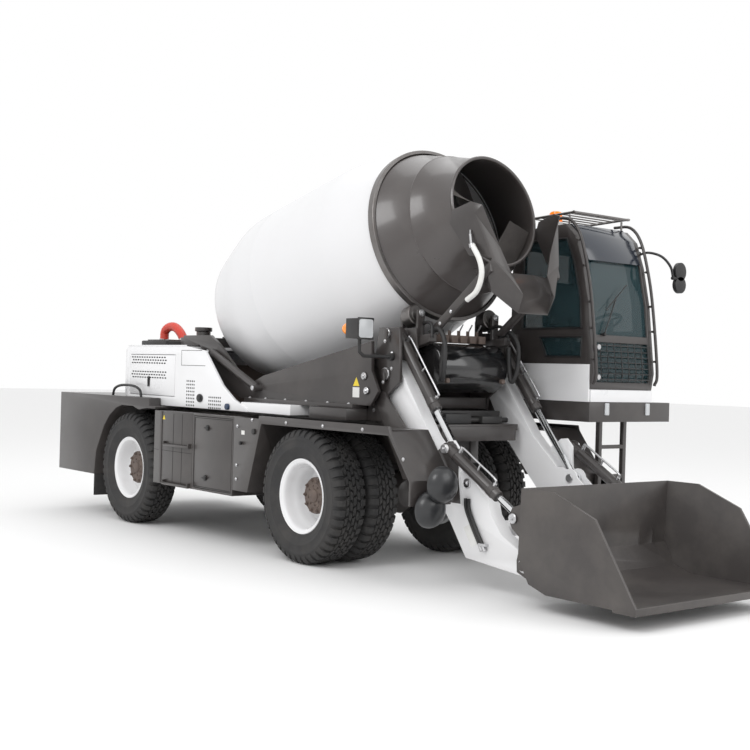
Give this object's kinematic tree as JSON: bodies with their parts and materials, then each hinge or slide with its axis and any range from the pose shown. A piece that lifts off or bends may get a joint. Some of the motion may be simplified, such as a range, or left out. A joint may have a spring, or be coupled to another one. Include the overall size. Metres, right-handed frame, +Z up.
{
  "type": "self-loading concrete mixer truck",
  "caption": "Self-loading concrete mixer truck with a tilted drum, front loading arms and bucket, an offset cab, twin front wheels and steered rear wheels.",
  "frame": {"origin": "on the ground, under the centre of the whole machine's box", "axes": "+X towards the loading bucket (the end the cab faces), +Y to the machine's left where the cab stands, +Z up"},
  "size_m": [7.67, 2.86, 3.3946],
  "materials": {
    "grey_paint": "satin",
    "white_paint": "gloss",
    "black_plastic": "matte",
    "black_gloss": "gloss",
    "rubber": "matte",
    "bright_steel": "polished",
    "castings": "rough",
    "tinted_glass": "gloss",
    "seat_cover": "matte",
    "amber_lens": "gloss"
  },
  "bodies": {
    "machine": {"chassis_frame": "grey_paint", "front_axle": "grey_paint", "rear_axle": "grey_paint", "engine_block": "castings", "engine_hood": "white_paint", "counterweight": "grey_paint", "fuel_tank": "grey_paint", "left_tank": "grey_paint", "toolbox": "grey_paint", "front_mudguard_left": "black_plastic", "front_mudguard_right": "black_plastic", "lift_tower": "grey_paint", "front_tank": "black_gloss", "drum_cradle": "grey_paint", "drum_gearbox": "castings", "feed_hopper": "grey_paint", "cab_base": "white_paint", "cab_platform": "grey_paint", "cab_shell": "grey_paint", "windscreen": "tinted_glass", "lower_front_window": "tinted_glass", "right_window": "tinted_glass", "rear_window": "tinted_glass", "operator_station": "seat_cover", "mirror": "black_plastic", "beacon": "amber_lens", "right_headlamp": "black_plastic"},
    "front_wheels_right": {"front_rims_right": "white_paint", "front_outer_tyre_right": "rubber", "front_inner_tyre_right": "rubber"},
    "knuckle_right": {"steering_knuckle_right": "castings"},
    "rear_wheel_right": {"rear_rim_right": "white_paint", "rear_tyre_right": "rubber"},
    "front_wheels_left": {"front_rims_left": "white_paint", "front_outer_tyre_left": "rubber", "front_inner_tyre_left": "rubber"},
    "knuckle_left": {"steering_knuckle_left": "castings"},
    "rear_wheel_left": {"rear_rim_left": "white_paint", "rear_tyre_left": "rubber"},
    "drum": {"drum_body": "white_paint", "drum_mouth_cone": "grey_paint", "drum_blade_1": "grey_paint", "drum_blade_2": "grey_paint"},
    "roller_right": {"drum_roller_right": "bright_steel"},
    "roller_left": {"drum_roller_left": "bright_steel"},
    "arms": {"loading_arms": "white_paint"},
    "bucket": {"loading_bucket": "grey_paint"},
    "lift_barrels": {"lift_barrel_left": "grey_paint", "lift_barrel_right": "grey_paint"},
    "lift_rods": {"lift_rod_left": "bright_steel", "lift_rod_right": "bright_steel"},
    "tilt_barrels": {"tilt_barrel_left": "grey_paint", "tilt_barrel_right": "grey_paint"},
    "tilt_rods": {"tilt_rod_left": "bright_steel", "tilt_rod_right": "bright_steel"},
    "cab_door_leaf": {"cab_door": "grey_paint", "door_window": "tinted_glass"},
    "hood_door_right": {"hood_door_right": "white_paint"},
    "hood_door_left": {"hood_door_left": "white_paint"},
    "toolbox_door": {"toolbox_door": "grey_paint"}
  },
  "joints": [
    {"name": "front_wheels_right_spin", "type": "hinge", "parent": "machine", "child": "front_wheels_right", "pos_m": [0.635, -1.096, 0.54], "axis": [0, 1, 0], "continuous": true},
    {"name": "steer_right", "type": "hinge", "parent": "machine", "child": "knuckle_right", "pos_m": [-2.309, -1.09, 0.54], "axis": [0, 0, 1], "range_deg": [-25, 25]},
    {"name": "rear_wheel_right_spin", "type": "hinge", "parent": "knuckle_right", "child": "rear_wheel_right", "pos_m": [-2.309, -1.2475, 0.54], "axis": [0, 1, 0], "continuous": true},
    {"name": "front_wheels_left_spin", "type": "hinge", "parent": "machine", "child": "front_wheels_left", "pos_m": [0.635, 0.356, 0.54], "axis": [0, 1, 0], "continuous": true},
    {"name": "steer_left", "type": "hinge", "parent": "machine", "child": "knuckle_left", "pos_m": [-2.309, 0.35, 0.54], "axis": [0, 0, 1], "range_deg": [-25, 25]},
    {"name": "rear_wheel_left_spin", "type": "hinge", "parent": "knuckle_left", "child": "rear_wheel_left", "pos_m": [-2.309, 0.5075, 0.54], "axis": [0, 1, 0], "continuous": true},
    {"name": "drum_spin", "type": "hinge", "parent": "machine", "child": "drum", "pos_m": [1.084, -0.37, 2.682], "axis": [0.9734, 0, 0.2292], "continuous": true},
    {"name": "roller_right_spin", "type": "hinge", "parent": "machine", "child": "roller_right", "pos_m": [1.2448, -0.775, 1.9992], "axis": [0.9734, 0, 0.2292], "continuous": true},
    {"name": "roller_left_spin", "type": "hinge", "parent": "machine", "child": "roller_left", "pos_m": [1.2448, 0.035, 1.9992], "axis": [0.9734, 0, 0.2292], "continuous": true},
    {"name": "arm_lift", "type": "hinge", "parent": "machine", "child": "arms", "pos_m": [1.235, -0.37, 1.537], "axis": [0, -1, 0], "range_deg": [-2, 88]},
    {"name": "bucket_tilt", "type": "hinge", "parent": "arms", "child": "bucket", "pos_m": [2.755, -0.37, 0.255], "axis": [0, -1, 0], "range_deg": [-50, 12]},
    {"name": "lift_barrels_swing", "type": "hinge", "parent": "machine", "child": "lift_barrels", "pos_m": [1.245, -0.37, 1.857], "axis": [0, -1, 0], "range_deg": [-3, 86]},
    {"name": "lift_rods_slide", "type": "slide", "parent": "lift_barrels", "child": "lift_rods", "axis": [0.6314, 0, -0.7755], "range_m": [-0.44, 0.02]},
    {"name": "tilt_barrels_swing", "type": "hinge", "parent": "arms", "child": "tilt_barrels", "pos_m": [1.995, -0.37, 1.006], "axis": [0, -1, 0], "range_deg": [-3, 8]},
    {"name": "tilt_rods_slide", "type": "slide", "parent": "tilt_barrels", "child": "tilt_rods", "axis": [0.8637, 0, -0.504], "range_m": [-0.08, 0.29]},
    {"name": "cab_door_hinge", "type": "hinge", "parent": "machine", "child": "cab_door_leaf", "pos_m": [1.295, 1.14, 2], "axis": [0, 0, 1], "range_deg": [0, 85]},
    {"name": "hood_door_right_hinge", "type": "hinge", "parent": "machine", "child": "hood_door_right", "pos_m": [-2.065, -1.27, 1.66], "axis": [-1, 0, 0], "range_deg": [0, 75]},
    {"name": "hood_door_left_hinge", "type": "hinge", "parent": "machine", "child": "hood_door_left", "pos_m": [-2.065, 0.53, 1.66], "axis": [1, 0, 0], "range_deg": [0, 75]},
    {"name": "toolbox_door_hinge", "type": "hinge", "parent": "machine", "child": "toolbox_door", "pos_m": [-0.37, -1.4, 0.79], "axis": [0, 0, 1], "range_deg": [0, 100]}
  ],
  "couplings": [
    {"joint": "steer_left", "follows": "steer_right", "ratio": 1},
    {"joint": "roller_right_spin", "follows": "drum_spin", "ratio": -8.5294},
    {"joint": "roller_left_spin", "follows": "drum_spin", "ratio": -8.5294},
    {"joint": "lift_barrels_swing", "follows": "arm_lift", "ratio": 0.9408},
    {"joint": "lift_rods_slide", "follows": "arm_lift", "m_per_rad": -0.2725},
    {"joint": "tilt_barrels_swing", "follows": "bucket_tilt", "ratio": -0.1076},
    {"joint": "tilt_rods_slide", "follows": "bucket_tilt", "m_per_rad": -0.31}
  ]
}
